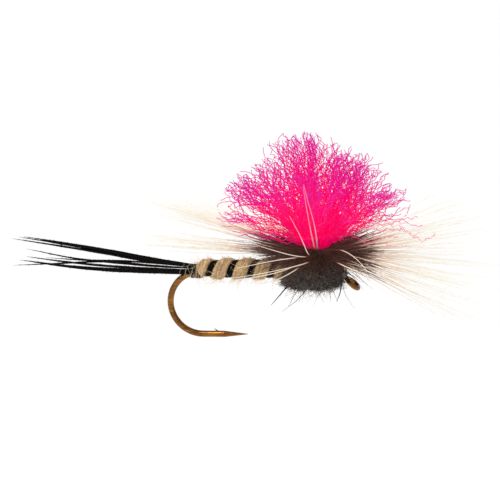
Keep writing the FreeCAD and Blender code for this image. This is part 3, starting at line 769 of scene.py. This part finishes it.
def under_fur():
    """Short curly fur that hangs between the leg hairs."""
    count, steps = 190, 14
    t = levels(count, steps)
    x = rng.uniform(thorax_low[0] + 0.6, thorax_high[0], (count, 1))
    angle = rng.normal(0, 0.8, (count, 1))
    out, _ = around(angle)
    heading = unit(out + ALONG * rng.normal(-0.25, 0.5, (count, 1, 1)))
    reach = rng.gamma(4, 0.16, (count, 1, 1))
    lines = on_thorax(x, angle) + heading * reach * t[..., None] + wander(count, steps, 0.15)
    fibres(
        "thorax_under_fur", lines, taper(count, steps, 0.015, 0.005), t,
        rng.random(count), DARK_FUR, "fly", 3,
    )


# ---------------------------------------------------------------- hackle

NEAR_AZIMUTH = math.radians(-79)
# How far the fan of barbs opens to either side of its middle, in degrees: the web and the long
# barbs in front of the post, all barbs behind it, and the web on the near side.
WEB_FAN = 25
FRONT_FAN = 33
REAR_FAN = 9
NEAR_WEB_FAN = 17
# How far the fan's middle stands above the level behind the post and on the near side, and how
# much less it does so behind on the far side, in degrees.
REAR_TILT = 11
NEAR_TILT = 9
NEAR_WEB_TILT = 4
FAR_DROP = 9


def wrapped(angle):
    """An angle brought to between minus and plus half a turn."""
    return (angle + math.pi) % (2 * math.pi) - math.pi


def rearward(azimuth):
    """1 straight behind the post, 0 straight ahead of it."""
    return 0.5 - 0.5 * np.cos(azimuth)


def near_side(azimuth):
    """1 for a barb on the near side, where the hackle is thin and its web is long, else 0."""
    return np.exp(-((wrapped(azimuth + math.radians(100)) / 1.15) ** 4))


def hackle_lines(azimuth, azimuth_end, rise, reach, bend, turn_share, steps):
    """Barbs out from the quill, which drift from one azimuth to another and bend up or down."""
    t = np.linspace(0, 1, steps)[None]
    low, high = quill_low[2] + 0.08, quill_high[2] - 0.06
    root_z = low + (high - low) * turn_share[:, None]
    heading = azimuth[:, None] + (azimuth_end - azimuth)[:, None] * t**0.7
    distance = QUILL_RADIUS - 0.1 + (reach[:, None] - QUILL_RADIUS + 0.1) * t
    level = distance * np.cos(rise)[:, None]
    z = root_z + (distance - QUILL_RADIUS) * np.sin(rise)[:, None] + bend[:, None] * t**2
    return np.stack([POST_X + level * np.cos(heading), level * np.sin(heading), z], -1)


def hackle_rise(azimuth, spread, front_fan):
    """Barbs fan up and down in front, rise clear of the tail behind, and tilt up on the near side.

    spread is a barb's place in the fan, about -1 to 1.
    """
    rear = rearward(azimuth)
    far = np.maximum(np.sin(azimuth), 0)
    behind = REAR_TILT + REAR_FAN * spread - FAR_DROP * far * rear**2
    return np.radians((1 - rear) * front_fan * spread + rear * behind + NEAR_TILT * near_side(azimuth))


def hackle_shade(lines, dark):
    """Places on the barb's colour ramp: up to 0.5 in the dark root, then up to 1 at the tip."""
    distance = np.linalg.norm(lines[:, :, :2] - [POST_X, 0], axis=-1)
    inside = 0.5 * distance / dark
    outside = 0.5 + 0.5 * (distance - dark) / (HACKLE_REACH - dark)
    return np.clip(np.where(distance < dark, inside, outside), 0, 1)


def barb_clumps():
    """Loose clumps of barbs: their azimuths, places in the fan, and lengths of dark root."""
    count = 40
    azimuth = 2 * math.pi * (np.arange(count) + rng.uniform(-0.35, 0.35, count)) / count
    spread = rng.permuted(np.linspace(-1.05, 1.05, count))
    # Behind the post the clumps part into an upper lock and, on the near side, a lower one.
    lower = (np.sin(azimuth) < 0.15) & (spread < 0.35)
    locks = np.where(lower, -1.0, 0.6)
    spread = spread + (locks - spread) * rearward(azimuth) ** 3
    return azimuth, spread, rng.uniform(3.4, 4.7, count)


def barb_courses(clump_azimuth):
    """Where each long barb starts on the quill, both its azimuths, and the clump that it leans to."""
    count = 520
    turn_share = (np.arange(count) + 0.5) / count
    azimuth = 2 * math.pi * QUILL_TURNS * turn_share + rng.normal(0, 0.05, count)
    gap = np.abs(wrapped(azimuth[:, None] - clump_azimuth))
    own = np.argmin(gap + rng.normal(0, 0.05, gap.shape), 1)
    lean = wrapped(clump_azimuth[own] - azimuth)
    azimuth_end = azimuth + lean * rng.uniform(0.4, 1.0, count) + rng.normal(0, 0.03, count)
    azimuth_end = azimuth_end + 0.45 * np.sin(azimuth_end) * rearward(azimuth_end) ** 3
    # The near side is thin, and its middle is bare.
    middle = np.cos(azimuth_end - NEAR_AZIMUTH) > math.cos(0.3)
    kept = (rng.random(count) > 0.88 * near_side(azimuth)) & ~middle
    return turn_share[kept], azimuth[kept], azimuth_end[kept], own[kept]


def long_barbs():
    """The feather's long barbs, gathered in loose clumps with gaps between."""
    clump_azimuth, clump_spread, clump_dark = barb_clumps()
    turn_share, azimuth, azimuth_end, own = barb_courses(clump_azimuth)
    count, steps = len(azimuth), 26
    loose = 0.13 + 0.1 * np.cos(azimuth)
    spread = (clump_spread[own] + rng.normal(0, loose)) * (1 - 0.8 * near_side(azimuth))
    reach = HACKLE_REACH * rng.uniform(0.82, 0.995, count)
    lines = hackle_lines(
        azimuth, azimuth_end, hackle_rise(azimuth_end, spread, FRONT_FAN), reach,
        rng.normal(0, 0.4, count), turn_share, steps,
    )
    lines = lines + wander(count, steps, 0.06)
    dark = clump_dark[own] + rng.normal(0, 0.3, count) + 2.0 * near_side(azimuth)
    along = hackle_shade(lines, np.clip(dark, 2.8, 8)[:, None])
    thick = rng.uniform(0.027, 0.036, count) * (1 - 0.45 * near_side(azimuth))
    radii = taper(count, steps, thick, 0.008, 0.8)
    piece = fibres("hackle_barbs", lines, radii, along, rng.random(count), HACKLE, "fly", 4)
    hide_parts(*[f"hackle_barbs_turn_{turn}" for turn in (1, 2, 3, 4)])
    barbules(lines, radii, along)


def barbules(lines, radii, along):
    """Fine side branches along the barbs, each with its barb's colour at its root."""
    per_barb = 14
    branches = side_branches(lines, radii, per_barb, (0.1, 0.85), (0.25, 0.55))
    rows = np.repeat(np.arange(len(lines)), per_barb)
    nearest = np.argmin(np.linalg.norm(lines[rows] - branches[:, :1], axis=-1), 1)
    fibres(
        "hackle_barbules", branches, taper(len(branches), 3, 0.009, 0.004), along[rows, nearest],
        rng.random(len(branches)), HACKLE, "fly", 3,
    )


def web():
    """Webby dark barbs close to the quill, which make the hackle's dark heart."""
    count, steps = 2000, 12
    azimuth = rng.uniform(0, 2 * math.pi, count)
    near = near_side(azimuth)
    spread = rng.uniform(-1.3, 0.8, count)
    near_rise = np.radians(NEAR_WEB_TILT + NEAR_WEB_FAN * spread)
    rise = (1 - near) * hackle_rise(azimuth, spread, WEB_FAN) + near * near_rise
    lines = hackle_lines(
        azimuth, azimuth + rng.normal(0, 0.12, count), rise, rng.triangular(2.6, 4.9, 5.7, count),
        rng.normal(0, 0.25, count), rng.random(count), steps,
    )
    lines = lines + wander(count, steps, 0.06)
    fibres(
        "hackle_web", lines, taper(count, steps, 0.044, 0.008), levels(count, steps) * 0.5,
        rng.random(count) * 0.6, HACKLE, "fly", 3,
    )


# Stout pale barbs on the near side, which lie over the web: azimuth at the root and at the tip and
# rise, in degrees; length; how far the tip curls up; and the length of the dark root.
STOUT_BARBS = (
    (-85, -103, 9.5, 12.6, 1.4, 4.3),
    (-75, -114, 4.3, 13.1, -0.4, 4.2),
    (-94, -109, 12.7, 13.0, -1.0, 4.6),
    (-98, -122, -2.8, 13.3, 0.7, 4.4),
    (-99, -104, -7.2, 12.2, 1.5, 4.4),
    (-60, -58, 27.0, 10.4, -3.8, 4.5),
    (-60, -60, 1.0, 12.2, 0.2, 4.3),
    (-50, -57, -8.0, 10.4, 1.0, 4.6),
    (-84, -93, 3.0, 10.2, 4.5, 4.2),
    (-88, -86, 38.0, 12.2, 0.5, 1.5),
    (-78, -86, 39.0, 11.8, 0.6, 1.5),
)


def stout_barbs():
    """The stout near barbs, pale as soon as they come clear of their dark root."""
    azimuth, azimuth_end, rise, reach, curl, dark = np.array(STOUT_BARBS).T
    count, steps = len(azimuth), 30
    lines = hackle_lines(
        np.radians(azimuth), np.radians(azimuth_end), np.radians(rise), reach, curl,
        np.full(count, 0.3), steps,
    )
    lines = lines + wander(count, steps, 0.05)
    distance = np.linalg.norm(lines[:, :, :2] - [POST_X, 0], axis=-1)
    along = np.clip(0.5 + 0.12 * (distance - dark[:, None]), 0.2, 1)
    thick = rng.uniform(0.046, 0.054, count)
    # A barb that rises in front of the wing is tinted to the wing's colour: painted light, for the yarn's
    # light that shines through it.
    painted_wing_light = np.clip((lines[:, :, 2] - wrap_high[2] - 0.6) / 2.5, 0, 1)
    tint = 0.3 * rng.random((count, 1)) + 0.7 * painted_wing_light
    radii = taper(count, steps, thick, 0.018, 1.3)
    fibres("hackle_stout_barbs", lines, radii, along, tint, STOUT_BARB, "fly", 5)


def hackle():
    """Badger hackle, nearly black near the post and cream beyond."""
    long_barbs()
    web()
    stout_barbs()


# ---------------------------------------------------------------- wing post

FAN_FOOT = np.array([POST_X, 0, wrap_high[2] - 0.42])
FAN_REACH = yarn_high[2] - FAN_FOOT[2]


def crimped(way, reach, steps, curl):
    """Kinked, tangled fibres that leave the neck upright and end at reach along way."""
    count = len(way)
    t = np.linspace(0, 1, steps)[None, :, None]
    side = unit(np.cross(way, rng.normal(size=(count, 3))))
    other = np.cross(way, side)
    heading = way[:, None] + (UP - way)[:, None] * 1.2 * np.exp(-9 * t)
    # Slow bends, and then sharp kinks to either side.
    for wave, size in ((1.2, 0.32), (2.6, 0.34), (5.1, 0.26)):
        phase = rng.uniform(0, 2 * math.pi, (count, 1, 3))
        drift = curl * size * rng.normal(size=(count, 1, 3)) * (0.3 + 1.1 * t)
        heading = heading + drift * np.sin(2 * wave * t * math.pi + phase)
    for direction, size in ((side, 0.62), (other, 0.34)):
        turns = np.cumsum(rng.uniform(0.09, 0.21, (count, steps)), 1) + rng.random((count, 1))
        kink = np.sign(np.sin(2 * math.pi * turns)) * rng.uniform(0.4, 1.3, (count, steps))
        heading = heading + direction[:, None] * (kink * size)[..., None] * np.clip(6 * t, 0.2, 1)
    path = np.cumsum(unit(heading), 1)
    path = path - path[:, :1]
    return path * (reach / np.linalg.norm(path[:, -1], axis=-1))[:, None, None]


def yarn(name, way, reach, curl=1.0):
    """Fibres of the wing, from the bound neck out along way to reach."""
    count, steps = len(way), 80
    lean = np.arccos(np.clip(way[:, 2], -1, 1))
    level = unit(way * [1, 1, 0])
    foot = FAN_FOOT + level * (POST_RADIUS * 0.8 * np.clip(lean, 0, 1))[:, None]
    lines = foot[:, None] + crimped(way, reach, steps, curl)
    return fibres(
        name, lines, taper(count, steps, rng.uniform(0.032, 0.040, count), 0.029), levels(count, steps),
        rng.random(count), PINK, "fly", 3,
    )


# The brushed-out wing's larger lobes: how far each leans ahead and towards the near side, in
# degrees; its length; its width; and its share of the fibres.
WING_LOBES = (
    (-14, 4, 9.5, 0.050, 1.8),
    (-7, -14, 9.3, 0.045, 1.3),
    (-1, 8, 9.6, 0.050, 1.8),
    (9, -4, 8.8, 0.050, 0.9),
    (18, 10, 8.5, 0.045, 0.9),
    (26, -10, 8.5, 0.050, 1.2),
    (33, 6, 8.3, 0.050, 1.4),
    (52, 8, 7.9, 0.045, 0.8),
    (64, -6, 7.6, 0.045, 0.8),
    (-24, 10, 8.4, 0.045, 0.8),
    (-36, -6, 8.2, 0.055, 1.1),
    (-48, 8, 8.4, 0.055, 1.2),
    (-59, -4, 8.2, 0.055, 1.0),
    (-70, 10, 7.4, 0.050, 0.5),
)


def wing_lobes():
    """Directions, lengths, widths and shares of the lobes: those listed, and others all round."""
    ahead, near, reach, width, share = np.array(WING_LOBES).T
    ahead, near = np.radians(ahead), np.radians(near)
    listed = np.stack([np.sin(ahead) * np.cos(near), -np.sin(near), np.cos(ahead) * np.cos(near)], -1)
    index = np.arange(28)
    azimuth = index * GOLDEN_ANGLE + rng.normal(0, 0.1, len(index))
    widest = 52 + 14 * np.sin(azimuth)
    lean = np.radians(16 + (widest - 16) * np.sqrt((index + 0.5) / len(index)))
    others = spherical(azimuth, math.pi / 2 - lean)
    count = len(index)
    return (
        np.concatenate([listed, others]),
        np.concatenate([reach, rng.uniform(6.8, 8.1, count)]),
        np.concatenate([width, rng.uniform(0.07, 0.12, count)]),
        np.concatenate([share, np.full(count, 0.36)]),
    )


def wing():
    """The brushed-out wing: fibres gathered in lobes, with a loose haze of single ones."""
    lobe_way, lobe_reach, lobe_width, share = wing_lobes()
    count = 205
    for letter in "abc":
        own = rng.choice(len(share), count, p=share / share.sum())
        loose = np.where(rng.random(count) < 0.12, 2.6, 1.0)
        way = unit(lobe_way[own] + rng.normal(size=(count, 3)) * (lobe_width[own] * loose)[:, None])
        reach = lobe_reach[own] * (1.04 - np.abs(rng.normal(0, 0.1, count)))
        piece = yarn(f"wing_yarn_{letter}", way, np.minimum(reach, FAN_REACH * 0.99))
        if letter == "a":
            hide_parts("wing_post_yarn")
    wing_strays()


def wing_strays():
    """Single fibres, which stray out over the hackle, most of them ahead."""
    count = 20
    ahead = rng.random(count) < 0.7
    azimuth = rng.normal(0, 0.5, count) + np.where(ahead, 0, math.pi)
    rise = np.where(ahead, rng.uniform(-0.12, 0.35, count), rng.uniform(0.12, 0.42, count))
    reach = np.where(ahead, rng.uniform(4.5, 9.0, count), rng.uniform(5.5, 8.4, count))
    yarn("wing_yarn_strays", spherical(azimuth, rise), reach, curl=0.8)


def yarn_neck():
    """Straight fibres packed in the bound neck and opening out above it."""
    count, steps = 160, 14
    t = levels(count, steps)
    azimuth = np.arange(count) * GOLDEN_ANGLE
    radius = POST_RADIUS * 0.86 * np.sqrt((np.arange(count) + 0.5) / count)
    low, high = wrap_low[2] + 0.1, wrap_high[2] + 1.0
    z = low + (high - low) * t
    flare = 1 + 1.1 * np.clip(z - wrap_high[2], 0, 2)
    r = radius[:, None] * flare
    lines = np.stack([POST_X + r * np.cos(azimuth)[:, None], r * np.sin(azimuth)[:, None], z], -1)
    lines = lines + wander(count, steps, 0.05)
    fibres("wing_yarn_neck", lines, 0.06, t * 0.3, rng.random(count), PINK, "fly", 4)


# ---------------------------------------------------------------- carried-over CAD nodes


def finish_cad(material, *names):
    """Gives CAD nodes that show as they are a material."""
    for name in names:
        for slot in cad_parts[name].material_slots:
            slot.material = material


# ---------------------------------------------------------------- stage


def stage():
    """A pale floor well below the fly, wide enough to fill the view."""
    material, tree, shader = new_material("pale_floor")
    stops = [(0.3, (0.95, 0.95, 0.95)), (0.7, (0.97, 0.97, 0.97))]
    tree.links.new(ramp(tree, noise(tree, 0.02), stops), shader.inputs["Base Color"])
    shader.inputs["Roughness"].default_value = 1.0
    shader.inputs["Specular IOR Level"].default_value = 0.0
    half, depth = 4000, -60
    corners = [(-half, -half, depth), (half, -half, depth), (half, half, depth), (-half, half, depth)]
    mesh = bpy.data.meshes.new("floor")
    mesh.from_pydata([tuple(c * MM for c in corner) for corner in corners], [], [(0, 1, 2, 3)])
    mesh.materials.append(material)
    floor = bpy.data.objects.new("floor", mesh)
    bpy.context.scene.collection.objects.link(floor)


def area_light(name, place, target, size, watts):
    data = bpy.data.lights.new(name, "AREA")
    data.shape = "DISK"
    data.size = size * MM
    data.energy = watts
    light = bpy.data.objects.new(name, data)
    light.location = Vector(place) * MM
    light.rotation_euler = (Vector(target) - Vector(place)).to_track_quat("-Z", "Y").to_euler()
    bpy.context.scene.collection.objects.link(light)


def lights():
    """A bright room, a large softbox from the upper left and a faint light from behind."""
    world = bpy.data.worlds.new("studio")
    world.use_nodes = True
    background = world.node_tree.nodes["Background"]
    background.inputs["Color"].default_value = (1, 1, 1, 1)
    background.inputs["Strength"].default_value = 0.62
    bpy.context.scene.world = world
    sun = bpy.data.lights.new("softbox", "SUN")
    sun.energy = 1.7
    sun.angle = math.radians(35)
    key = bpy.data.objects.new("softbox", sun)
    key.rotation_euler = Vector((-0.45, -0.62, 1.0)).to_track_quat("Z", "Y").to_euler()
    bpy.context.scene.collection.objects.link(key)
    area_light("rim", (60, 110, 90), (-5, 0, 0), 70, 0.04)


def camera():
    """A long lens, a little above the shank and a little in front of square-on, with the shank level."""
    azimuth, elevation = math.radians(11), math.radians(12)
    target = Vector((-8.3, 0, 2.75)) * MM
    distance, width = 145 * MM, 40.5 * MM
    data = bpy.data.cameras.new("camera")
    data.sensor_width = 36
    data.lens = data.sensor_width * distance / width
    data.clip_start, data.clip_end = 0.01, 20
    level = math.cos(elevation)
    back = Vector((math.sin(azimuth) * level, -math.cos(azimuth) * level, math.sin(elevation)))
    right = (Vector(ALONG) - back * back.x).normalized()
    made = bpy.data.objects.new("camera", data)
    made.location = target + back * distance
    made.rotation_euler = Matrix((right, back.cross(right), back)).transposed().to_euler()
    bpy.context.scene.collection.objects.link(made)
    bpy.context.scene.camera = made
    bpy.context.scene.view_settings.view_transform = "Standard"


camera()
lights()
stage()
finish_cad(BRONZE, "hook")
finish_cad(BLACK_THREAD, "shank_thread", "butt_binding_thread", "post_base_thread", "head_thread")
finish_cad(BLACK_THREAD, "tail_hair_butts", "hackle_quill")
finish_cad(cement(), "head_cement")
abdomen()
rib()
tail()
tail_binding()
thorax()
leg_hairs()
under_fur()
hackle()
yarn_neck()
wing()
